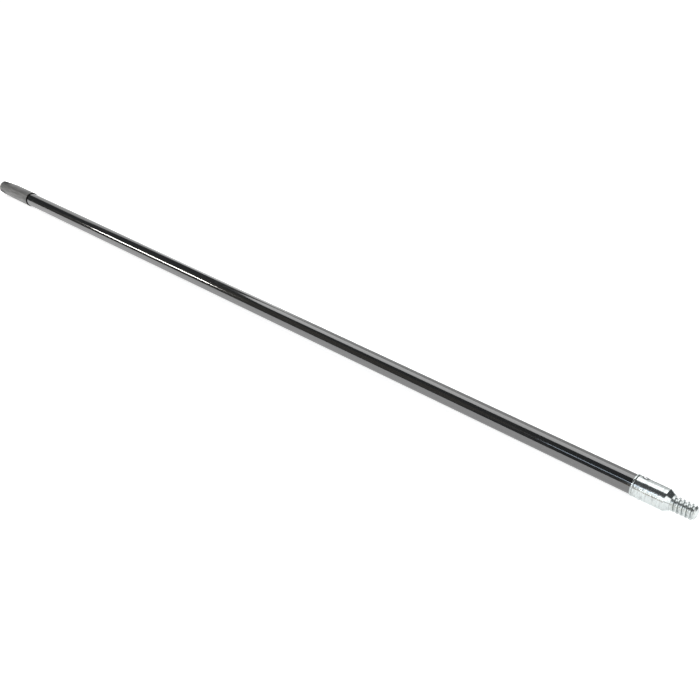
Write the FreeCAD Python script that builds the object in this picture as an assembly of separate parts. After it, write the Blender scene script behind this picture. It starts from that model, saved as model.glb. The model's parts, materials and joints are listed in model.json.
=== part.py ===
"""A one-piece painter's pole: a steel tube with a threaded metal tip at one end and a hand grip at the other.

The pole lies along X with its threaded tip towards +X, and +Z is up.
The origin is on the pole's axis, in the plane of the shoulder where the thread begins.
Every size is in millimetres.
"""

import FreeCAD, Part
import math
import os

from FreeCAD import Vector

# The whole pole
OVERALL_LENGTH = 1524.0
TUBE_RADIUS = 12.7
TUBE_WALL = 0.9
SLIP_GAP = 0.05

# Threaded tip, from its free end to its lip
THREAD_LENGTH = 28.4
THREAD_RADIUS = 9.4
THREAD_PITCH = 5.08
THREAD_DEPTH = 2.3
THREAD_FLANK_DEGREES = 14.5
CREST_SHARE_OF_PITCH = 0.37
GROOVE_START = 2.94
FULL_TURNS = 3
FIRST_STRETCH = 0.3
LEAD_IN_DROP = 0.2
CHAMFER_LENGTH = 2.4
CHAMFER_DEPTH = 2.3
SHOULDER_RADIUS = 10.0
CONE_LENGTH = 6.2
BARREL_LENGTH = 40.4
BARREL_RADIUS = 13.75
CONE_EDGE_ROUND = 0.8
LIP_RADIUS = 14.0
LIP_WIDTH = 2.4
LIP_ROUND = 0.6
NECK_RADIUS = 13.35
NECK_WIDTH = 0.8
SOCKET_END_WALL = 14.0
POCKET_MOUTH_RADIUS = 10.5
POCKET_FLOOR_RADIUS = 6.5
POCKET_FLOOR_WALL = 3.0

# Rivets that hold the tip on the tube
RIVET_ANGLES = {"tip_rivet_upper": 72.0, "tip_rivet_lower": 252.0}
RIVET_FROM_LIP = 10.1
RIVET_SHANK_RADIUS = 2.4
RIVET_HEAD_RADIUS = 3.4
RIVET_HEAD_HEIGHT = 0.9
RIVET_CLINCH_RADIUS = 3.2
RIVET_CLINCH_HEIGHT = 1.2
SEAT_GAP = 0.02

# Hand grip
GRIP_LENGTH = 115.5
GRIP_RADIUS = 13.9
GRIP_END_WALL = 23.5
GRIP_BORE_GAP = 0.1
GRIP_MOUTH_GAP = 0.7
GRIP_MOUTH_DEPTH = 3.0
GRIP_MOUTH_ROUND = 0.25
GRIP_END_ROUND = 12.0
FLAT_LENGTH = 42.0
FLAT_HALF_THICKNESS = 10.3
HANG_ANGLE = 57.0
HANG_HOLE_RADIUS = 4.5
HANG_HOLE_FROM_END = 13.0

# Places along X that follow from the sizes
CONE_BASE_X = -CONE_LENGTH
LIP_X = CONE_BASE_X - BARREL_LENGTH
TUBE_TIP_END_X = -SOCKET_END_WALL
GRIP_END_X = THREAD_LENGTH - OVERALL_LENGTH
GRIP_MOUTH_X = GRIP_END_X + GRIP_LENGTH
TUBE_GRIP_END_X = GRIP_END_X + GRIP_END_WALL
RIVET_X = LIP_X + RIVET_FROM_LIP

AXIS = Vector(1, 0, 0)
CENTRE = Vector(0, 0, 0)
QUARTER = 90.0
CLEAR = 1.0


def corner_at(corner):
    """The point of a corner (along the axis, out from it, rounding radius)."""
    return Vector(corner[0], 0, corner[1])


def rounded_corner(before, corner, after):
    """Where a corner's arc begins, its middle and where it ends; three equal points for a sharp corner."""
    here = corner_at(corner)
    radius = corner[2]
    if radius == 0:
        return here, here, here
    back = (corner_at(before) - here).normalize()
    ahead = (corner_at(after) - here).normalize()
    half_angle = back.getAngle(ahead) / 2
    reach = radius / math.tan(half_angle)
    inset = radius / math.sin(half_angle) - radius
    middle = here + (back + ahead).normalize() * inset
    return here + back * reach, middle, here + ahead * reach


def profile(corners):
    """A flat face in the XZ plane with these corners."""
    last = len(corners) - 1
    arcs = []
    for i, corner in enumerate(corners):
        arcs.append(rounded_corner(corners[i - 1], corner, corners[0 if i == last else i + 1]))
    edges = []
    for i, (start, middle, end) in enumerate(arcs):
        if corners[i][2] > 0:
            edges.append(Part.Arc(start, middle, end).toShape())
        edges.append(Part.LineSegment(end, arcs[0 if i == last else i + 1][0]).toShape())
    return Part.Face(Part.Wire(edges))


def turned(corners, degrees=360.0):
    """The solid that a profile sweeps as it turns about the pole's axis."""
    return profile(corners).revolve(CENTRE, AXIS, degrees)


def rolled(shape, degrees):
    """A copy of a shape that was built upright, rolled about the axis so that its top is at this angle.

    The angle is counted from +Y towards +Z.
    """
    copy = shape.copy()
    copy.rotate(CENTRE, AXIS, degrees - QUARTER)
    return copy


def rivet_hole():
    """The hole for one rivet, upright."""
    radius = RIVET_SHANK_RADIUS + SLIP_GAP
    return Part.makeCylinder(radius, LIP_RADIUS + CLEAR, Vector(RIVET_X, 0, 0))


def with_rivet_holes(shape):
    for angle in RIVET_ANGLES.values():
        shape = shape.cut(rolled(rivet_hole(), angle))
    return shape


def pole_tube():
    bore = TUBE_RADIUS - TUBE_WALL
    tube = turned([
        (TUBE_GRIP_END_X, bore, 0),
        (TUBE_TIP_END_X, bore, 0),
        (TUBE_TIP_END_X, TUBE_RADIUS, 0),
        (TUBE_GRIP_END_X, TUBE_RADIUS, 0),
    ])
    return with_rivet_holes(tube)


def thread_blank():
    """The thread before its groove is cut, in quarters so that each crest is a short stretch of cylinder.

    The last turns lead in with a slightly lower crest, which begins inside the groove in every quarter.
    """
    lead_in_radius = THREAD_RADIUS - LEAD_IN_DROP
    quarters = []
    for i in range(4):
        full_to = GROOVE_START + THREAD_PITCH * (FULL_TURNS + (i + 0.5) / 4)
        quarter = turned([
            (0, 0, 0),
            (0, THREAD_RADIUS, 0),
            (full_to, THREAD_RADIUS, 0),
            (full_to, lead_in_radius, 0),
            (THREAD_LENGTH - CHAMFER_LENGTH, lead_in_radius, 0),
            (THREAD_LENGTH, lead_in_radius - CHAMFER_DEPTH, 0),
            (THREAD_LENGTH, 0, 0),
        ], QUARTER)
        quarter.rotate(CENTRE, AXIS, (i + 3) * QUARTER)
        quarters.append(quarter)
    return quarters[0].fuse(quarters[1:])


def groove(start_turn, turns):
    """A stretch of the thread's groove, which begins on the +Y side of the axis at turn 0."""
    lean = math.tan(math.radians(THREAD_FLANK_DEGREES))
    half_mouth = THREAD_PITCH * (1 - CREST_SHARE_OF_PITCH) / 2
    half_root = half_mouth - THREAD_DEPTH * lean
    half_outside = half_mouth + CLEAR * lean
    root = THREAD_RADIUS - THREAD_DEPTH
    outside = THREAD_RADIUS + CLEAR
    section = Part.makePolygon([
        Vector(root, 0, -half_root),
        Vector(outside, 0, -half_outside),
        Vector(outside, 0, half_outside),
        Vector(root, 0, half_root),
        Vector(root, 0, -half_root),
    ])
    path = Part.Wire(Part.makeHelix(THREAD_PITCH, THREAD_PITCH * turns, THREAD_RADIUS).Edges)
    stretch = path.makePipeShell([section], True, True)
    stretch.rotate(CENTRE, Vector(0, 1, 0), QUARTER)
    stretch.rotate(CENTRE, AXIS, QUARTER + 4 * QUARTER * start_turn)
    stretch.translate(Vector(GROOVE_START + THREAD_PITCH * start_turn, 0, 0))
    return stretch


def thread():
    """The right-hand trapezoidal thread, from the shoulder to its chamfered end.

    Its groove is cut one turn at a time after a short first stretch, so no cut ends where two quarters meet.
    """
    stud = thread_blank().cut(groove(0, FIRST_STRETCH))
    start_turn = FIRST_STRETCH
    while GROOVE_START + THREAD_PITCH * (start_turn - 1) < THREAD_LENGTH:
        stud = stud.cut(groove(start_turn, 1))
        start_turn += 1
    return stud


def threaded_tip():
    socket = TUBE_RADIUS + SLIP_GAP
    lip_end = LIP_X + LIP_WIDTH
    neck_end = lip_end + NECK_WIDTH
    shell = turned([
        (LIP_X, socket, 0),
        (LIP_X, LIP_RADIUS, LIP_ROUND),
        (lip_end, LIP_RADIUS, LIP_ROUND),
        (lip_end, NECK_RADIUS, 0),
        (neck_end, NECK_RADIUS, 0),
        (neck_end, BARREL_RADIUS, 0),
        (CONE_BASE_X, BARREL_RADIUS, CONE_EDGE_ROUND),
        (0, SHOULDER_RADIUS, 0),
        (0, 0, 0),
        (-POCKET_FLOOR_WALL, 0, 0),
        (-POCKET_FLOOR_WALL, POCKET_FLOOR_RADIUS, 0),
        (TUBE_TIP_END_X, POCKET_MOUTH_RADIUS, 0),
        (TUBE_TIP_END_X, socket, 0),
    ])
    return with_rivet_holes(shell).fuse(thread())


def round_bar(radius):
    """A short bar along the pole's axis, where the rivets are."""
    half_length = 2 * RIVET_HEAD_RADIUS
    return Part.makeCylinder(radius, 2 * half_length, Vector(RIVET_X - half_length, 0, 0), AXIS)


def rivet_head():
    """A low dome that sits on the tip's barrel."""
    top = BARREL_RADIUS + RIVET_HEAD_HEIGHT
    dome_radius = (RIVET_HEAD_RADIUS ** 2 + RIVET_HEAD_HEIGHT ** 2) / (2 * RIVET_HEAD_HEIGHT)
    dome = Part.makeSphere(dome_radius, Vector(RIVET_X, 0, top - dome_radius))
    foot = Vector(RIVET_X, 0, TUBE_RADIUS)
    head = Part.makeCylinder(RIVET_HEAD_RADIUS, top - TUBE_RADIUS, foot).common(dome)
    return head.cut(round_bar(BARREL_RADIUS + SEAT_GAP))


def rivet_clinch():
    """The spread end of a rivet, inside the tube."""
    bore = TUBE_RADIUS - TUBE_WALL
    foot = Vector(RIVET_X, 0, bore - RIVET_CLINCH_HEIGHT)
    clinch = Part.makeCylinder(RIVET_CLINCH_RADIUS, 2 * RIVET_CLINCH_HEIGHT, foot)
    return clinch.common(round_bar(bore - SEAT_GAP))


def tip_rivet():
    """One blind rivet, upright, through the walls of the tip and the tube."""
    foot = TUBE_RADIUS - TUBE_WALL - RIVET_CLINCH_HEIGHT
    top = BARREL_RADIUS + RIVET_HEAD_HEIGHT / 2
    shank = Part.makeCylinder(RIVET_SHANK_RADIUS, top - foot, Vector(RIVET_X, 0, foot))
    return rivet_head().fuse([shank, rivet_clinch()]).removeSplitter()


def flat_cutter():
    """What is cut away above one flat of the grip's end, upright."""
    flat_start = GRIP_END_X + FLAT_LENGTH
    wedge = Part.Face(Part.makePolygon([
        Vector(flat_start, 0, GRIP_RADIUS),
        Vector(GRIP_END_X - CLEAR, 0, FLAT_HALF_THICKNESS),
        Vector(GRIP_END_X - CLEAR, 0, GRIP_RADIUS + CLEAR),
        Vector(flat_start, 0, GRIP_RADIUS + CLEAR),
        Vector(flat_start, 0, GRIP_RADIUS),
    ]))
    wedge.translate(Vector(0, -GRIP_RADIUS, 0))
    return wedge.extrude(Vector(0, 2 * GRIP_RADIUS, 0))


def hanging_hole():
    start = Vector(GRIP_END_X + HANG_HOLE_FROM_END, 0, -GRIP_RADIUS - CLEAR)
    return Part.makeCylinder(HANG_HOLE_RADIUS, 2 * (GRIP_RADIUS + CLEAR), start)


def hand_grip():
    bore = TUBE_RADIUS + GRIP_BORE_GAP
    mouth = TUBE_RADIUS + GRIP_MOUTH_GAP
    mouth_floor = GRIP_MOUTH_X - GRIP_MOUTH_DEPTH
    grip = turned([
        (TUBE_GRIP_END_X, 0, 0),
        (TUBE_GRIP_END_X, bore, 0),
        (mouth_floor, bore, 0),
        (mouth_floor, mouth, 0),
        (GRIP_MOUTH_X, mouth, 0),
        (GRIP_MOUTH_X, GRIP_RADIUS, GRIP_MOUTH_ROUND),
        (GRIP_END_X, GRIP_RADIUS, GRIP_END_ROUND),
        (GRIP_END_X, 0, 0),
    ])
    for angle in (HANG_ANGLE, HANG_ANGLE + 2 * QUARTER):
        grip = grip.cut(rolled(flat_cutter(), angle))
    return grip.cut(rolled(hanging_hole(), HANG_ANGLE))


def write(name, shape):
    """Writes one node's STEP file."""
    if not shape.isValid():
        raise ValueError(f"{name} is not a valid shape")
    shape.exportStep(f"parts/{name}.step")
    box = shape.BoundBox
    print(f"{name}: {len(shape.Solids)} solid, {shape.Volume:.1f} mm3, x {box.XMin:.2f} to {box.XMax:.2f}")


os.makedirs("parts", exist_ok=True)
write("pole_tube", pole_tube())
write("threaded_tip", threaded_tip())
write("hand_grip", hand_grip())
for rivet_name, rivet_angle in RIVET_ANGLES.items():
    write(rivet_name, rolled(tip_rivet(), rivet_angle))
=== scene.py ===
"""The looks of a one-piece painter's pole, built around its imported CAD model.

The pole lies along X with its threaded tip towards +X, and +Z is up. Its axis runs through the origin,
which is in the plane of the shoulder where the thread begins. Angles about the axis count from +Y
towards +Z. Blender's unit is the metre; sizes written in millimetres are multiplied by MM.
"""

import json
import math

import bmesh
import bpy
from mathutils import Matrix, Quaternion, Vector


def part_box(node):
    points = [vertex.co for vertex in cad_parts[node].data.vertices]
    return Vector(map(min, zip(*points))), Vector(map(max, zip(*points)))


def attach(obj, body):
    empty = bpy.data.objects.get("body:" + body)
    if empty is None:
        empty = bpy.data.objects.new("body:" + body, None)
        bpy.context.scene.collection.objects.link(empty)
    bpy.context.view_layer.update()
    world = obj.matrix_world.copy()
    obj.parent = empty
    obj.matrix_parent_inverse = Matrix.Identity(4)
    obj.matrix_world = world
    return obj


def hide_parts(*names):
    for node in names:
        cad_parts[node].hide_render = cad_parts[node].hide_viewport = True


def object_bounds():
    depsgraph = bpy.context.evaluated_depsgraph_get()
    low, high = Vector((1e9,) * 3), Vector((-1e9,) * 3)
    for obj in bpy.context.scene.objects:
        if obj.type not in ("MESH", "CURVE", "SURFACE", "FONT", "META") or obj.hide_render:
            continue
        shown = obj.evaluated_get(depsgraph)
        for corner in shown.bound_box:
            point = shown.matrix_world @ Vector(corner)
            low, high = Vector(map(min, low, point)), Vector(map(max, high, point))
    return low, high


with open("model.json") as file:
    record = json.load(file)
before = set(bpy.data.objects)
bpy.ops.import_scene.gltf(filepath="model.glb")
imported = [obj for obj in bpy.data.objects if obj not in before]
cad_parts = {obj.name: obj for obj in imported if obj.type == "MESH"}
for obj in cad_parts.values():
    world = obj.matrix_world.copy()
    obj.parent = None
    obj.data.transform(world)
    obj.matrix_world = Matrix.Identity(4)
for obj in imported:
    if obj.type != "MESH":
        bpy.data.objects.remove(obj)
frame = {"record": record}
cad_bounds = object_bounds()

MM = 0.001
TURN = 2 * math.pi

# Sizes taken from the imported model
tip_low, tip_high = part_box("threaded_tip")
tube_low, tube_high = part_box("pole_tube")
grip_low, grip_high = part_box("hand_grip")
mounts = {mount["name"]: mount for mount in frame["record"]["mounts"]}
LIP_X = tip_low.x
THREAD_END_X = tip_high.x
LIP_RADIUS = tip_high.y
TUBE_RADIUS = tube_high.y
TUBE_TIP_END_X = tube_high.x
TUBE_GRIP_END_X = tube_low.x
GRIP_END_X = grip_low.x
GRIP_MOUTH_X = grip_high.x
THREAD_RADIUS = mounts["threaded_tip"]["dims"]["r_mm"] * MM
HANG_HOLE_RADIUS = mounts["hanging_hole"]["dims"]["r_mm"] * MM
HANG_HOLE_X = mounts["hanging_hole"]["pos_m"][0]
HANG_AXIS = Vector(mounts["hanging_hole"]["axis"])
HANG_ANGLE = math.atan2(HANG_AXIS.z, HANG_AXIS.y)
FLOOR_Z = cad_bounds[0].z

# Threaded tip
THREAD_PITCH = 5.08 * MM
THREAD_DEPTH = 2.3 * MM
FLANK_LEAN = math.tan(math.radians(14.5))
CREST_SHARE_OF_PITCH = 0.37
GROOVE_START = 2.94 * MM
GROOVE_FADE_TURNS = 0.09
CREST_ROUND = 0.3 * MM
ROOT_ROUND = 0.45 * MM
CHAMFER_LENGTH = 2.4 * MM
CHAMFER_END_RADIUS = 6.9 * MM
CHAMFER_BLEND = 0.4 * MM
END_DISH = 0.25 * MM
SHOULDER_RADIUS = 10.0 * MM
CONE_LENGTH = 6.2 * MM
BARREL_RADIUS = 13.75 * MM
LIP_WIDTH = 2.4 * MM
LIP_BACK_ROUND = 0.95 * MM
LIP_FRONT_ROUND = 0.75 * MM
NECK_RADIUS = 13.35 * MM
NECK_WIDTH = 0.8 * MM
NECK_ROUND = 0.2 * MM
BARREL_EDGE_ROUND = 0.18 * MM
PLAIN_END = 1.0 * MM
CONE_EDGE_ROUND = 1.0 * MM
CONE_MARGIN = 1.5 * MM
SHOULDER_ROUND = 0.2 * MM
SOCKET_GAP = 0.05 * MM
SOCKET_EDGE_ROUND = 0.3 * MM
POCKET_MOUTH_RADIUS = 10.5 * MM
POCKET_FLOOR_RADIUS = 6.5 * MM
POCKET_FLOOR_WALL = 3.0 * MM
POCKET_ROUND = 0.8 * MM
THREAD_STEP = 0.25 * MM
BARREL_STEP = 0.65 * MM
CONE_STEP = 1.0 * MM

# Rivets
RIVET_ANGLES = {"tip_rivet_upper": math.radians(72), "tip_rivet_lower": math.radians(252)}
RIVET_X = LIP_X + 10.1 * MM
RIVET_HEAD_RADIUS = 3.35 * MM
RIVET_HEAD_HEIGHT = 0.85 * MM
RIVET_SHANK_RADIUS = 2.4 * MM
RIVET_HEAD_SKIRT = 0.5 * MM
RIVET_RIM_HEIGHT = 0.02 * MM
RIVET_RIM_ROUND = 0.06 * MM
RIVET_DOME_POWER = 2.2
RIVET_DOME_STEPS = 10
RIVET_CLINCH_RADIUS = 3.2 * MM
RIVET_CLINCH_HEIGHT = 1.2 * MM
RIVET_CLINCH_SEAT = 0.25 * MM
RIVET_PIT_RADIUS = 1.0 * MM
RIVET_PIT_DEPTH = 0.45 * MM
RIVET_DIMPLE_DEPTH = 0.12 * MM
RIVET_DIMPLE_SPREAD = 5.0 * MM

# Tube
TUBE_WALL = 0.9 * MM
TUBE_EDGE_ROUND = 0.2 * MM
TUBE_STEP = 20 * MM

# Hand grip
GRIP_RADIUS = 13.9 * MM
GRIP_BORE_GAP = 0.1 * MM
GRIP_MOUTH_GAP = 0.7 * MM
GRIP_MOUTH_DEPTH = 3.0 * MM
GRIP_MOUTH_EDGE = 1.0 * MM
GRIP_END_ROUND = 12.0 * MM
GRIP_STEP = 0.8 * MM
FLAT_LENGTH = 42.0 * MM
FLAT_HALF_THICKNESS = 10.3 * MM
FLAT_BLEND = 1.4 * MM
HOLE_RIM = 0.9 * MM
HOLE_RIM_STEPS = 6
HOLE_RIM_STEP_ANGLE = math.radians(13)

SEGMENTS = 192
ARC_STEP = math.radians(9)
SHARP_ANGLE = math.radians(40)
WELD_DISTANCE = 1e-7


# ---------------------------------------------------------------- mesh helpers


def rounded(corners):
    """Points along an open outline whose corners are (along, out, rounding radius)."""
    points = []
    for i, (along, out, radius) in enumerate(corners):
        here = Vector((along, out))
        if radius == 0 or i in (0, len(corners) - 1):
            points.append(here)
            continue
        back = (Vector(corners[i - 1][:2]) - here).normalized()
        ahead = (Vector(corners[i + 1][:2]) - here).normalized()
        half_angle = back.angle(ahead) / 2
        centre = here + (back + ahead).normalized() * (radius / math.sin(half_angle))
        start = here + back * (radius / math.tan(half_angle)) - centre
        sweep = math.pi - 2 * half_angle
        turn_sign = 1 if back.x * ahead.y - back.y * ahead.x < 0 else -1
        steps = max(2, math.ceil(sweep / ARC_STEP))
        for k in range(steps + 1):
            spin = Matrix.Rotation(turn_sign * sweep * k / steps, 2)
            points.append(centre + spin @ start)
    return points


def divided(points, longest):
    """The same outline with no run longer than this."""
    result = [points[0]]
    for start, end in zip(points, points[1:]):
        steps = max(1, math.ceil((end - start).length / longest))
        for k in range(1, steps + 1):
            result.append(start.lerp(end, k / steps))
    return result


def around(x, radius, angle):
    """A point at this distance from the pole's axis."""
    return Vector((x, radius * math.cos(angle), radius * math.sin(angle)))


def make_ring(bm, x, radius, radius_at=None):
    """A loop of vertices about the axis, or one vertex on the axis itself."""
    if radius <= 0:
        return [bm.verts.new((x, 0, 0))]
    ring = []
    for i in range(SEGMENTS):
        angle = TURN * i / SEGMENTS
        out = radius_at(x, radius, angle) if radius_at else radius
        ring.append(bm.verts.new(around(x, out, angle)))
    return ring


def join_rings(bm, first, second):
    """Faces between two loops, either of which may be a single vertex."""
    for i in range(SEGMENTS):
        j = (i + 1) % SEGMENTS
        near = [first[i % len(first)], first[j % len(first)]]
        far = [second[j % len(second)], second[i % len(second)]]
        unique = list(dict.fromkeys(near + far))
        if len(unique) > 2:
            bm.faces.new(unique)


def lathe(bm, outline, radius_at=None, closed=False):
    """The surface of an outline of (x, radius) points turned about the pole's axis."""
    rings = [make_ring(bm, point.x, max(point.y, 0), radius_at) for point in outline]
    for first, second in zip(rings, rings[1:]):
        join_rings(bm, first, second)
    if closed:
        join_rings(bm, rings[-1], rings[0])
    return rings


def shade_smooth(mesh):
    """Smooth shading, but for the edges that turn sharply."""
    for polygon in mesh.polygons:
        polygon.use_smooth = True
    mesh.set_sharp_from_angle(angle=SHARP_ANGLE)


def finished(name, bm, material):
    """Turns a bmesh into a smooth-shaded piece that rides on the pole."""
    bmesh.ops.remove_doubles(bm, verts=bm.verts, dist=WELD_DISTANCE)
    bmesh.ops.dissolve_degenerate(bm, edges=bm.edges, dist=WELD_DISTANCE)
    bmesh.ops.recalc_face_normals(bm, faces=bm.faces)
    mesh = bpy.data.meshes.new(name)
    bm.to_mesh(mesh)
    bm.free()
    shade_smooth(mesh)
    mesh.materials.append(material)
    piece = bpy.data.objects.new(name, mesh)
    bpy.context.scene.collection.objects.link(piece)
    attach(piece, "root")
    return piece


def smooth_step(value):
    share = min(max(value, 0), 1)
    return share * share * (3 - 2 * share)


def soft_min(a, b, blend):
    """The smaller of two lengths, eased where they meet."""
    share = min(max(0.5 + 0.5 * (b - a) / blend, 0), 1)
    return b + (a - b) * share - blend * share * (1 - share)


# ------------------------------------------------------------------ materials


def new_material(name):
    material = bpy.data.materials.new(name)
    material.use_nodes = True
    return material, material.node_tree.nodes["Principled BSDF"]


def add_node(material, kind, **inputs):
    """A new node with some of its inputs set, or linked where the value is a socket."""
    node = material.node_tree.nodes.new(kind)
    for label, value in inputs.items():
        socket = node.inputs[label.replace("_", " ")]
        if isinstance(value, bpy.types.NodeSocket):
            material.node_tree.links.new(value, socket)
        else:
            socket.default_value = value
    return node


def connect(material, output, target):
    material.node_tree.links.new(output, target)


def stretched_space(material, stretch):
    """Coordinates in the pole's own frame, scaled along each axis."""
    space = add_node(material, "ShaderNodeTexCoord")
    mapping = add_node(material, "ShaderNodeMapping", Vector=space.outputs["Object"], Scale=stretch)
    return mapping.outputs["Vector"]


def noise(material, stretch, scale, detail=3.0, roughness=0.5):
    vector = stretched_space(material, stretch)
    node = add_node(
        material, "ShaderNodeTexNoise", Vector=vector, Scale=scale, Detail=detail, Roughness=roughness
    )
    return node.outputs["Fac"]


def ranged(material, value, from_low, from_high, to_low, to_high):
    """A value's range mapped onto another."""
    node = add_node(material, "ShaderNodeMapRange", Value=value)
    node.inputs["From Min"].default_value = from_low
    node.inputs["From Max"].default_value = from_high
    node.inputs["To Min"].default_value = to_low
    node.inputs["To Max"].default_value = to_high
    return node.outputs["Result"]


def ramp(material, value, stops):
    """A colour ramp with these (place, colour) stops."""
    node = add_node(material, "ShaderNodeValToRGB", Fac=value)
    elements = node.color_ramp.elements
    while len(elements) < len(stops):
        elements.new(0.5)
    for element, (place, colour) in zip(elements, stops):
        element.position = place
        element.color = (*colour, 1)
    return node.outputs["Color"]


def mixed(material, share, first, second):
    """Two colours mixed by a share, through the mix node's own colour sockets."""
    node = add_node(material, "ShaderNodeMix")
    node.data_type = "RGBA"
    connect(material, share, node.inputs["Factor"])
    connect(material, first, node.inputs[6])
    connect(material, second, node.inputs[7])
    return node.outputs[2]


def place_along(material):
    """The place along the pole, in metres."""
    space = add_node(material, "ShaderNodeTexCoord")
    return add_node(material, "ShaderNodeSeparateXYZ", Vector=space.outputs["Object"]).outputs["X"]


def place_across(material, direction):
    """How far along a direction from the origin, in metres."""
    space = add_node(material, "ShaderNodeTexCoord")
    node = material.node_tree.nodes.new("ShaderNodeVectorMath")
    node.operation = "DOT_PRODUCT"
    connect(material, space.outputs["Object"], node.inputs[0])
    node.inputs[1].default_value = direction
    return node.outputs["Value"]


def calculated(material, operation, first, second):
    """A number worked out from two sockets or values."""
    node = material.node_tree.nodes.new("ShaderNodeMath")
    node.operation = operation
    for socket, value in zip(node.inputs, (first, second)):
        if isinstance(value, bpy.types.NodeSocket):
            connect(material, value, socket)
        else:
            socket.default_value = value
    return node.outputs["Value"]


def banded(material, value, start, end, blur):
    """One between start and end, fading to zero over a short distance outside them."""
    rising = ranged(material, value, start - blur, start, 0, 1)
    falling = ranged(material, value, end, end + blur, 1, 0)
    return calculated(material, "MULTIPLY", rising, falling)


def plain_colour(material, colour):
    node = add_node(material, "ShaderNodeRGB")
    node.outputs[0].default_value = (*colour, 1)
    return node.outputs[0]


def bumped(material, height, distance, strength, below=None):
    node = add_node(material, "ShaderNodeBump", Height=height, Distance=distance, Strength=strength)
    if below:
        connect(material, below, node.inputs["Normal"])
    return node.outputs["Normal"]


def black_enamel():
    """Glossy black enamel: faint orange peel, hairline scratches along the tube and a little dust."""
    material, shader = new_material("black_enamel")
    peel = noise(material, (0.6, 1, 1), 420, detail=2)
    scratches = noise(material, (8, 900, 900), 1.6, detail=4, roughness=0.65)
    smudges = noise(material, (0.35, 1, 1), 34, detail=4, roughness=0.6)
    dust = noise(material, (1, 1, 1), 2600, detail=1)
    specks = ramp(material, dust, [(0.70, (0, 0, 0)), (0.76, (1, 1, 1))])
    paint = ramp(material, smudges, [(0.3, (0.0095, 0.0095, 0.010)), (0.75, (0.015, 0.0145, 0.014))])
    colour = mixed(material, specks, paint, plain_colour(material, (0.05, 0.049, 0.047)))
    connect(material, colour, shader.inputs["Base Color"])
    connect(material, ranged(material, smudges, 0.3, 0.75, 0.06, 0.11), shader.inputs["Roughness"])
    shader.inputs["IOR"].default_value = 1.8
    shader.inputs["Specular IOR Level"].default_value = 0.95
    shader.inputs["Coat Weight"].default_value = 0.15
    shader.inputs["Coat Roughness"].default_value = 0.05
    normal = bumped(material, scratches, 0.02 * MM, 0.06)
    connect(material, bumped(material, peel, 0.1 * MM, 0.025, normal), shader.inputs["Normal"])
    return material


def distance_of(material, first, second):
    """The length of a step whose two legs are these sockets."""
    squares = calculated(
        material, "ADD", calculated(material, "POWER", first, 2.0), calculated(material, "POWER", second, 2.0)
    )
    return calculated(material, "POWER", squares, 0.5)


def painted_seam_shade(material):
    """Where painted shade darkens the zinc: in the neck behind the lip, more towards the top, and around the
    rivets' heads.

    A ring about the upper rivet's axis also falls around the lower rivet, which is opposite it.
    """
    along = place_along(material)
    neck = banded(material, along, LIP_X + LIP_WIDTH, LIP_X + LIP_WIDTH + NECK_WIDTH, 0.1 * MM)
    # The neck's painted shade is stronger towards the top.
    top = ranged(material, place_across(material, (0, 0, 1)), 5 * MM, 9 * MM, 0.12, 1)
    neck = calculated(material, "MULTIPLY", neck, top)
    rivet_angle = RIVET_ANGLES["tip_rivet_upper"]
    beside = place_across(material, (0, -math.sin(rivet_angle), math.cos(rivet_angle)))
    distance = distance_of(material, calculated(material, "SUBTRACT", along, RIVET_X), beside)
    ring = banded(material, distance, RIVET_HEAD_RADIUS - 0.1 * MM, RIVET_HEAD_RADIUS + 0.75 * MM, 0.15 * MM)
    return calculated(material, "MAXIMUM", neck, ring)


def thread_depths(material):
    """Where the thread's groove is, from its crests' edges down."""
    thread = banded(material, place_along(material), 0.2 * MM, THREAD_END_X - CHAMFER_LENGTH, 0.3 * MM)
    out = distance_of(material, place_across(material, (0, 0, 1)), place_across(material, (0, 1, 0)))
    low = ranged(material, out, THREAD_RADIUS - 1.2 * MM, THREAD_RADIUS - 0.25 * MM, 1, 0)
    return calculated(material, "MULTIPLY", thread, low)


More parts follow.
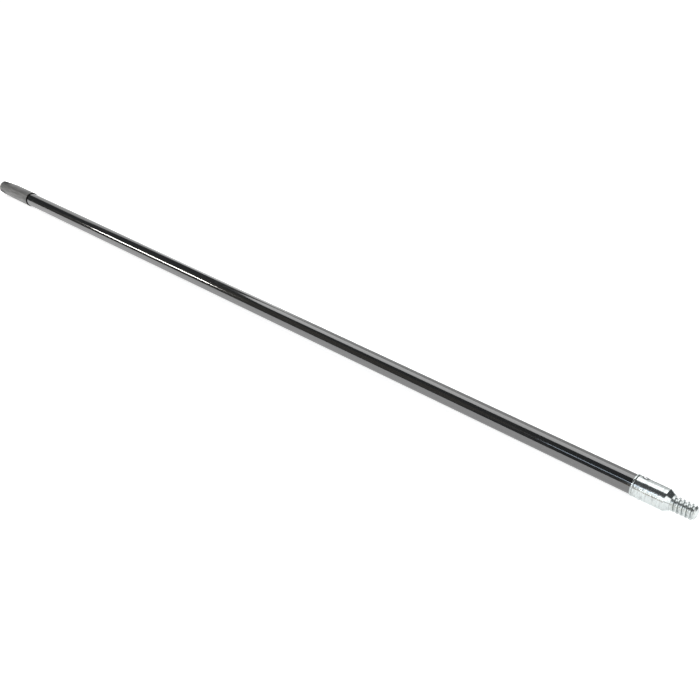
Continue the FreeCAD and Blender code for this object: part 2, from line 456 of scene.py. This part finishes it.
def bright_zinc(name, tint, dull):
    """Bright zinc plate: bluish, with turning lines round the pole, a fine spangle, warm traces, and painted
    shade in the thread's roots, the neck and around the rivets.
    """
    material, shader = new_material(name)
    turning = noise(material, (2600, 12, 12), 1.0, detail=3, roughness=0.6)
    spangle = noise(material, (1, 1, 1), 900, detail=3, roughness=0.6)
    clouds = noise(material, (1, 1, 1), 130, detail=4, roughness=0.55)
    cool = ramp(material, clouds, [(0.3, tint), (0.7, tuple(min(1, part * 1.08) for part in tint))])
    warm = plain_colour(material, (tint[0] * 0.98, tint[1] * 0.90, tint[2] * 0.78))
    traces = noise(material, (0.5, 1, 1), 75, detail=3)
    colour = mixed(material, ranged(material, traces, 0.55, 0.8, 0, 0.55), cool, warm)
    mottle = noise(material, (1, 0.22, 0.22), 520, detail=3, roughness=0.6)
    shade = plain_colour(material, tuple(part * 0.62 for part in tint))
    colour = mixed(material, ranged(material, mottle, 0.45, 0.75, 0, 0.8), colour, shade)
    # Painted shade: a slight darkening down into the thread's roots.
    grooves = calculated(material, "MULTIPLY", thread_depths(material), 0.12)
    colour = mixed(material, grooves, colour, plain_colour(material, (0.13, 0.135, 0.14)))
    # Painted shade in the neck and around the rivet heads, which also makes the metal duller and less
    # metallic there.
    seam_shade = painted_seam_shade(material)
    colour = mixed(material, seam_shade, colour, plain_colour(material, (0.02, 0.021, 0.022)))
    connect(material, colour, shader.inputs["Base Color"])
    connect(material, ranged(material, seam_shade, 0, 1, 0.95, 0), shader.inputs["Metallic"])
    cast = ranged(material, place_along(material), -CONE_LENGTH * 0.3, 0.3 * MM, 0, 0.16)
    polish = ranged(material, spangle, 0.3, 0.7, dull, dull + 0.10)
    rough = calculated(material, "ADD", cast, polish)
    seam_shade_roughness = calculated(material, "MULTIPLY", seam_shade, 0.5)
    connect(material, calculated(material, "ADD", rough, seam_shade_roughness), shader.inputs["Roughness"])
    waves = noise(material, (1, 1, 1), 330, detail=2)
    normal = bumped(material, turning, 0.03 * MM, 0.35)
    normal = bumped(material, spangle, 0.08 * MM, 0.25, normal)
    normal = bumped(material, waves, 0.3 * MM, 0.22, normal)
    connect(material, bumped(material, clouds, 0.6 * MM, 0.3, normal), shader.inputs["Normal"])
    return material


def grip_plastic():
    """Dark grey satin plastic with a moulded grain, with painted shade at its mouth, on its flats and over
    its closed end.
    """
    material, shader = new_material("grip_plastic")
    grain = noise(material, (1, 1, 1), 2400, detail=2)
    wear = noise(material, (0.3, 1, 1), 60, detail=4, roughness=0.6)
    streaks = noise(material, (0.12, 1, 1), 330, detail=4, roughness=0.65)
    pale = ramp(material, streaks, [(0.3, (0.088, 0.088, 0.086)), (0.7, (0.196, 0.194, 0.189))])
    # Near black for the painted shade.
    black = plain_colour(material, (0.004, 0.004, 0.004))
    along = place_along(material)
    # Painted shade: the last millimetre or so at the mouth.
    mouth = ranged(material, along, GRIP_MOUTH_X - 1.7 * MM, GRIP_MOUTH_X - 1.1 * MM, 0, 1)
    # Painted shade on the flats near the closed end.
    from_middle = calculated(material, "ABSOLUTE", place_across(material, HANG_AXIS), 0.0)
    outer = ranged(material, from_middle, 6 * MM, 9.5 * MM, 0, 1)
    near_end = ranged(material, along, GRIP_END_X + 40 * MM, GRIP_END_X + 24 * MM, 0, 0.85)
    flats = calculated(material, "MULTIPLY", outer, near_end)
    # Painted shade over the closed end.
    closed_end = ranged(material, along, GRIP_END_X + 9 * MM, GRIP_END_X + 5 * MM, 0, 0.9)
    dark = calculated(material, "MAXIMUM", mouth, calculated(material, "MAXIMUM", flats, closed_end))
    connect(material, mixed(material, dark, pale, black), shader.inputs["Base Color"])
    connect(material, ranged(material, wear, 0.3, 0.75, 0.36, 0.46), shader.inputs["Roughness"])
    # Less specular reflection where the shade is painted.
    connect(material, ranged(material, dark, 0, 1, 0.5, 0.05), shader.inputs["Specular IOR Level"])
    shader.inputs["IOR"].default_value = 1.5
    normal = bumped(material, wear, 0.5 * MM, 0.06)
    connect(material, bumped(material, grain, 0.06 * MM, 0.25, normal), shader.inputs["Normal"])
    return material


# --------------------------------------------------------------- threaded tip


def rivet_dimple(x, angle):
    """How far the barrel is pulled in near a rivet."""
    depth = 0
    for rivet_angle in RIVET_ANGLES.values():
        away = math.remainder(angle - rivet_angle, TURN) * BARREL_RADIUS
        share = math.hypot(x - RIVET_X, away) / RIVET_DIMPLE_SPREAD
        depth += RIVET_DIMPLE_DEPTH * math.exp(-2 * share * share)
    return depth


def barrel_radius_at(x, radius, angle):
    return radius - rivet_dimple(x, angle)


def thread_section():
    """One pitch of the thread as (along from the groove's middle, out) points."""
    half_mouth = THREAD_PITCH * (1 - CREST_SHARE_OF_PITCH) / 2
    half_root = half_mouth - THREAD_DEPTH * FLANK_LEAN
    root = THREAD_RADIUS - THREAD_DEPTH
    section = rounded([
        (-THREAD_PITCH / 2, THREAD_RADIUS, 0),
        (-half_mouth, THREAD_RADIUS, CREST_ROUND),
        (-half_root, root, ROOT_ROUND),
        (half_root, root, ROOT_ROUND),
        (half_mouth, THREAD_RADIUS, CREST_ROUND),
        (THREAD_PITCH / 2, THREAD_RADIUS, 0),
    ])
    return divided(section, THREAD_STEP)


def thread_radius_at(section, x, turn_share):
    """The thread's radius at a place along the axis and a share of a turn from where its groove starts."""
    along = (x - GROOVE_START) / THREAD_PITCH - turn_share
    groove_number = math.floor(along + 0.5)
    offset = (along - groove_number) * THREAD_PITCH
    out = section[-1].y
    for start, end in zip(section, section[1:]):
        if start.x <= offset <= end.x and end.x > start.x:
            out = start.y + (end.y - start.y) * (offset - start.x) / (end.x - start.x)
            break
    fade = smooth_step((groove_number + turn_share) / GROOVE_FADE_TURNS)
    out = THREAD_RADIUS - (THREAD_RADIUS - out) * fade
    chamfer_share = (THREAD_END_X - x) / CHAMFER_LENGTH
    chamfer = CHAMFER_END_RADIUS + (THREAD_RADIUS - CHAMFER_END_RADIUS) * chamfer_share
    return soft_min(out, chamfer, CHAMFER_BLEND)


def add_thread(bm):
    """The threaded surface, with its rows along the helix so that crests and roots stay crisp."""
    section = thread_section()
    turns = math.ceil(THREAD_END_X / THREAD_PITCH) + 1
    offsets = []
    for groove_number in range(-2, turns):
        offsets += [groove_number * THREAD_PITCH + point.x for point in section[:-1]]
    rows = []
    for offset in offsets:
        row = []
        for i in range(SEGMENTS + 1):
            turn_share = i / SEGMENTS
            x = min(max(GROOVE_START + offset + THREAD_PITCH * turn_share, 0), THREAD_END_X)
            out = thread_radius_at(section, x, turn_share)
            row.append(bm.verts.new(around(x, out, TURN * turn_share)))
        rows.append(row)
    for first, second in zip(rows, rows[1:]):
        for i in range(SEGMENTS):
            width = (first[i].co - second[i].co).length + (first[i + 1].co - second[i + 1].co).length
            if width > WELD_DISTANCE:
                bm.faces.new((first[i], first[i + 1], second[i + 1], second[i]))
    return section


def add_end_face(bm, section):
    """The slightly dished face at the end of the thread."""

    def end_radius_at(x, radius, angle):
        if radius < CHAMFER_END_RADIUS / 2:
            return radius
        return thread_radius_at(section, THREAD_END_X, angle / TURN)

    outline = [
        Vector((THREAD_END_X, CHAMFER_END_RADIUS)),
        Vector((THREAD_END_X - END_DISH, CHAMFER_END_RADIUS * 0.4)),
        Vector((THREAD_END_X - END_DISH, 0)),
    ]
    lathe(bm, outline, end_radius_at)


def threaded_tip(material):
    """The ferrule: rolled lip, barrel, cone and thread in one casting, with its socket inside."""
    socket = TUBE_RADIUS + SOCKET_GAP
    lip_end = LIP_X + LIP_WIDTH
    neck_end = lip_end + NECK_WIDTH
    barrel_start = neck_end + PLAIN_END
    barrel_end = -CONE_LENGTH - CONE_MARGIN
    bm = bmesh.new()
    socket_and_lip = rounded([
        (-POCKET_FLOOR_WALL, 0, 0),
        (-POCKET_FLOOR_WALL, POCKET_FLOOR_RADIUS, POCKET_ROUND),
        (TUBE_TIP_END_X, POCKET_MOUTH_RADIUS, 0),
        (TUBE_TIP_END_X, socket, 0),
        (LIP_X, socket, SOCKET_EDGE_ROUND),
        (LIP_X, LIP_RADIUS, LIP_BACK_ROUND),
        (lip_end, LIP_RADIUS, LIP_FRONT_ROUND),
        (lip_end, NECK_RADIUS, NECK_ROUND),
        (neck_end, NECK_RADIUS, NECK_ROUND),
        (neck_end, BARREL_RADIUS, BARREL_EDGE_ROUND),
        (barrel_start, BARREL_RADIUS, 0),
    ])
    lathe(bm, socket_and_lip, barrel_radius_at)
    barrel = [Vector((barrel_start, BARREL_RADIUS)), Vector((barrel_end, BARREL_RADIUS))]
    lathe(bm, divided(barrel, BARREL_STEP), barrel_radius_at)
    cone = rounded([
        (barrel_end, BARREL_RADIUS, 0),
        (-CONE_LENGTH, BARREL_RADIUS, CONE_EDGE_ROUND),
        (0, SHOULDER_RADIUS, SHOULDER_ROUND),
        (0, THREAD_RADIUS, 0),
    ])
    lathe(bm, divided(cone, CONE_STEP))
    add_end_face(bm, add_thread(bm))
    piece = finished("threaded_tip_visual", bm, material)
    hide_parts("threaded_tip")
    return piece


# --------------------------------------------------------------------- rivets


def rivet_outline():
    """A blind rivet's outline as (out from its axis, up) points, from its tail to the pit in its head."""
    bore = TUBE_RADIUS - TUBE_WALL
    tail = bore - RIVET_CLINCH_HEIGHT
    seat = bore - RIVET_CLINCH_SEAT
    skirt = BARREL_RADIUS - RIVET_HEAD_SKIRT
    rim = BARREL_RADIUS + RIVET_RIM_HEIGHT
    points = rounded([
        (0, tail, 0),
        (RIVET_CLINCH_RADIUS, tail, 0.5 * MM),
        (RIVET_CLINCH_RADIUS, seat, 0.3 * MM),
        (RIVET_SHANK_RADIUS, seat, 0),
        (RIVET_SHANK_RADIUS, skirt, 0),
        (RIVET_HEAD_RADIUS, skirt, 0),
        (RIVET_HEAD_RADIUS, rim, RIVET_RIM_ROUND),
    ])
    dome_rise = BARREL_RADIUS + RIVET_HEAD_HEIGHT - rim
    for k in range(1, RIVET_DOME_STEPS + 1):
        out = RIVET_HEAD_RADIUS + (RIVET_PIT_RADIUS - RIVET_HEAD_RADIUS) * k / RIVET_DOME_STEPS
        share = out / RIVET_HEAD_RADIUS
        points.append(Vector((out, rim + dome_rise * (1 - share ** RIVET_DOME_POWER))))
    pit_top = points[-1].y
    points.append(Vector((RIVET_PIT_RADIUS * 0.92, pit_top - 0.08 * MM)))
    points.append(Vector((RIVET_PIT_RADIUS * 0.88, pit_top - RIVET_PIT_DEPTH)))
    points.append(Vector((0, pit_top - RIVET_PIT_DEPTH * 0.75)))
    return points


def tip_rivet(name, angle, material):
    """A blind rivet whose head's skirt follows the barrel's curve."""
    bm = bmesh.new()
    lathe(bm, [Vector((point.y, point.x)) for point in rivet_outline()])
    skirt = BARREL_RADIUS - RIVET_HEAD_SKIRT
    for vertex in bm.verts:
        up, across, along = vertex.co
        on_rim = math.hypot(across, along) > RIVET_HEAD_RADIUS - 0.01 * MM
        if on_rim and abs(up - skirt) < 0.001 * MM:
            up = math.sqrt(BARREL_RADIUS ** 2 - across ** 2) - RIVET_DIMPLE_DEPTH
        vertex.co = Vector((along, across, up))
    roll = Matrix.Rotation(angle - TURN / 4, 4, "X")
    bmesh.ops.transform(bm, matrix=roll @ Matrix.Translation((RIVET_X, 0, 0)), verts=bm.verts)
    piece = finished(name + "_visual", bm, material)
    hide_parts(name)
    return piece


# ----------------------------------------------------------------------- tube


def pole_tube(material):
    """The tube, with its bore and its two rounded ends."""
    bore = TUBE_RADIUS - TUBE_WALL
    middle = (TUBE_TIP_END_X + TUBE_GRIP_END_X) / 2
    outline = rounded([
        (middle, bore, 0),
        (TUBE_TIP_END_X, bore, TUBE_EDGE_ROUND),
        (TUBE_TIP_END_X, TUBE_RADIUS, TUBE_EDGE_ROUND),
        (TUBE_GRIP_END_X, TUBE_RADIUS, TUBE_EDGE_ROUND),
        (TUBE_GRIP_END_X, bore, TUBE_EDGE_ROUND),
        (middle, bore, 0),
    ])
    bm = bmesh.new()
    lathe(bm, divided(outline, TUBE_STEP))
    piece = finished("pole_tube_visual", bm, material)
    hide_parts("pole_tube")
    return piece


# ------------------------------------------------------------------ hand grip


def flat_half_thickness(x):
    """Half the grip's thickness between its two flats, at a place along the axis."""
    share = (x - GRIP_END_X) / FLAT_LENGTH
    return FLAT_HALF_THICKNESS + (GRIP_RADIUS - FLAT_HALF_THICKNESS) * share


def grip_radius_at(x, radius, angle):
    """The grip's round section, eased onto the two flats at its end."""
    across = abs(math.cos(angle - HANG_ANGLE)) * radius
    limit = flat_half_thickness(x)
    eased = soft_min(across, limit, FLAT_BLEND)
    along = math.sin(angle - HANG_ANGLE) * radius
    return min(math.hypot(eased, along), radius)


def grip_body():
    """The grip before its hanging hole is cut: a closed sleeve with a stepped mouth."""
    bore = TUBE_RADIUS + GRIP_BORE_GAP
    mouth = TUBE_RADIUS + GRIP_MOUTH_GAP
    mouth_floor = GRIP_MOUTH_X - GRIP_MOUTH_DEPTH
    bm = bmesh.new()
    inside = rounded([
        (TUBE_GRIP_END_X, 0, 0),
        (TUBE_GRIP_END_X, bore, 0),
        (mouth_floor, bore, 0),
        (mouth_floor, mouth, 0.2 * MM),
        (GRIP_MOUTH_X, mouth, 0.15 * MM),
        (GRIP_MOUTH_X, GRIP_RADIUS, 0.25 * MM),
        (GRIP_MOUTH_X - GRIP_MOUTH_EDGE, GRIP_RADIUS, 0),
    ])
    lathe(bm, inside)
    outside = rounded([
        (GRIP_MOUTH_X - GRIP_MOUTH_EDGE, GRIP_RADIUS, 0),
        (GRIP_END_X, GRIP_RADIUS, GRIP_END_ROUND),
        (GRIP_END_X, 0, 0),
    ])
    lathe(bm, divided(outside, GRIP_STEP), grip_radius_at)
    return bm


def hole_cutter():
    """What the hanging hole takes away, with an eased rim that follows the tapering flats."""
    surface = flat_half_thickness(HANG_HOLE_X)
    rim_points = []
    for k in range(HOLE_RIM_STEPS):
        spread = HOLE_RIM_STEP_ANGLE * k
        up = surface - HOLE_RIM * (1 - math.sin(spread))
        rim_points.append((up, HOLE_RIM * (1 - math.cos(spread))))
    last_up, last_out = rim_points[-1]
    rim_points.append((last_up + 3 * MM, last_out + 6 * MM))
    outline = [(-up, out) for up, out in reversed(rim_points)] + rim_points
    points = [Vector((outline[0][0], 0))]
    points += [Vector((up, HANG_HOLE_RADIUS + out)) for up, out in outline]
    points.append(Vector((outline[-1][0], 0)))
    bm = bmesh.new()
    lathe(bm, points)
    slope = (GRIP_RADIUS - FLAT_HALF_THICKNESS) / FLAT_LENGTH
    for vertex in bm.verts:
        up, across, along = vertex.co
        if abs(up) > surface - 2 * HOLE_RIM:
            up += math.copysign(slope * along, up)
        vertex.co = Vector((along, across, up))
    roll = Matrix.Rotation(HANG_ANGLE - TURN / 4, 4, "X")
    bmesh.ops.transform(bm, matrix=roll @ Matrix.Translation((HANG_HOLE_X, 0, 0)), verts=bm.verts)
    bmesh.ops.recalc_face_normals(bm, faces=bm.faces)
    mesh = bpy.data.meshes.new("hole_cutter")
    bm.to_mesh(mesh)
    bm.free()
    cutter = bpy.data.objects.new("hole_cutter", mesh)
    bpy.context.scene.collection.objects.link(cutter)
    return cutter


def hand_grip(material):
    """The grip with its hanging hole cut through."""
    piece = finished("hand_grip_visual", grip_body(), material)
    cutter = hole_cutter()
    cut = piece.modifiers.new("hanging_hole", "BOOLEAN")
    cut.operation = "DIFFERENCE"
    cut.solver = "EXACT"
    cut.object = cutter
    bpy.context.view_layer.update()
    evaluated = piece.evaluated_get(bpy.context.evaluated_depsgraph_get())
    mesh = bpy.data.meshes.new_from_object(evaluated)
    piece.modifiers.clear()
    piece.data = mesh
    shade_smooth(mesh)
    bpy.data.objects.remove(cutter)
    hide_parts("hand_grip")
    return piece


# ---------------------------------------------------------------------- stage


CAMERA_AZIMUTH = math.radians(43.314)
CAMERA_ELEVATION = math.radians(30.138)
CAMERA_DISTANCE = 1.3171
CAMERA_AIM = Vector((LIP_X - 0.4511, 0, 0))
CAMERA_LENS = 46.8

FLOOR_HALF_SIZE = 12.0
FLOOR_GLOW = 0.7
WORLD_LIGHT = 0.07


def camera():
    """A camera above and in front of the threaded tip."""
    flat = math.cos(CAMERA_ELEVATION)
    back = Vector((
        math.sin(CAMERA_AZIMUTH) * flat,
        -math.cos(CAMERA_AZIMUTH) * flat,
        math.sin(CAMERA_ELEVATION),
    ))
    data = bpy.data.cameras.new("camera")
    data.lens = CAMERA_LENS
    data.clip_start = 0.02
    data.clip_end = 60
    piece = bpy.data.objects.new("camera", data)
    piece.location = CAMERA_AIM + back * CAMERA_DISTANCE
    piece.rotation_mode = "QUATERNION"
    piece.rotation_quaternion = (-back).to_track_quat("-Z", "Y")
    bpy.context.scene.collection.objects.link(piece)
    bpy.context.scene.camera = piece


def softbox(name, place, target, width, height, radiance, colour=(1, 1, 1), roll=0):
    """A rectangular studio light that faces a point, with its width level unless it is rolled."""
    data = bpy.data.lights.new(name, "AREA")
    data.shape = "RECTANGLE"
    data.size = width
    data.size_y = height
    data.energy = math.pi * width * height * radiance
    data.color = colour
    light = bpy.data.objects.new(name, data)
    light.location = place
    light.rotation_mode = "QUATERNION"
    facing = (Vector(target) - Vector(place)).to_track_quat("-Z", "Y")
    light.rotation_quaternion = facing @ Quaternion((0, 0, 1), math.radians(roll))
    light.visible_camera = False
    bpy.context.scene.collection.objects.link(light)
    return light


def floor():
    """A plain pale floor under the pole, with a faint glow of its own in place of a lit sweep."""
    material, shader = new_material("pale_floor")
    mottle = noise(material, (1, 1, 1), 0.8, detail=2)
    colour = ramp(material, mottle, [(0.3, (0.86, 0.86, 0.86)), (0.7, (0.88, 0.88, 0.88))])
    connect(material, colour, shader.inputs["Base Color"])
    shader.inputs["Roughness"].default_value = 1.0
    shader.inputs["Specular IOR Level"].default_value = 0.0
    shader.inputs["Emission Color"].default_value = (1, 1, 1, 1)
    shader.inputs["Emission Strength"].default_value = FLOOR_GLOW
    size = FLOOR_HALF_SIZE
    mesh = bpy.data.meshes.new("floor")
    corners = [(-size, -size, FLOOR_Z), (size, -size, FLOOR_Z), (size, size, FLOOR_Z), (-size, size, FLOOR_Z)]
    mesh.from_pydata(corners, [], [(0, 1, 2, 3)])
    mesh.materials.append(material)
    piece = bpy.data.objects.new("floor", mesh)
    bpy.context.scene.collection.objects.link(piece)


def lights():
    """Soft panels around the pole, two narrow ones for its highlights, and a dim room."""
    softbox("overhead", (-1.175, 0.92, 2.0), (-1.175, 0.92, 0), 3.15, 1.96, 1.9, roll=10.5)
    softbox("far_side", (-2.7, 3.6, 2.1), (-2.7, 0, 2.1), 6.0, 2.9, 0.85)
    softbox("end_panel", (-3.5, 1.75, 0.82), (0, 1.75, 0.82), 2.9, 1.62, 1.0)
    softbox("far_strip", (-2.43, -1.0, 0.71), (-2.43, 0, 0), 0.72, 0.13, 27.0, (1.0, 0.98, 0.94))
    softbox("near_strip", (-0.66, -1.46, 1.11), (-0.66, 0, 0), 0.56, 0.10, 4.0, (0.72, 0.84, 1.0))
    softbox("tip_panel", (0.16, -2.0, 0.93), (0.16, 0, 0.93), 1.76, 1.2, 2.2, (0.97, 0.99, 1.0), roll=6.6)
    softbox("warm_card", (0.16, -2.05, 0.16), (0.16, 0, 0.16), 1.76, 0.30, 0.4, (1.0, 0.78, 0.5))
    softbox("cone_panel", (2.3, -1.5, 1.35), (0, -1.5, 1.35), 2.2, 2.3, 1.8)
    softbox("thread_panel", (-0.16, -2.0, 1.97), (-0.16, 0, 1.97), 1.3, 0.84, 1.2)
    softbox("far_end", (3.0, 0, 1.05), (0, 0, 1.05), 2.0, 1.5, 1.2)
    softbox("warm_fill", (-3.1, -2.4, 1.6), (-1.2, 0, 0), 2.8, 2.4, 0.06, (1.0, 0.82, 0.55))
    world = bpy.data.worlds.new("studio")
    world.use_nodes = True
    background = world.node_tree.nodes["Background"]
    background.inputs["Color"].default_value = (0.86, 0.95, 1, 1)
    background.inputs["Strength"].default_value = WORLD_LIGHT
    bpy.context.scene.world = world
    bpy.context.scene.view_settings.view_transform = "Standard"


zinc = bright_zinc("zinc_plate", (0.58, 0.615, 0.61), 0.08)
rivet_metal = bright_zinc("rivet_zinc", (0.80, 0.81, 0.82), 0.12)
pole_tube(black_enamel())
threaded_tip(zinc)
for rivet_name, rivet_angle in RIVET_ANGLES.items():
    tip_rivet(rivet_name, rivet_angle, rivet_metal)
hand_grip(grip_plastic())
camera()
lights()
floor()
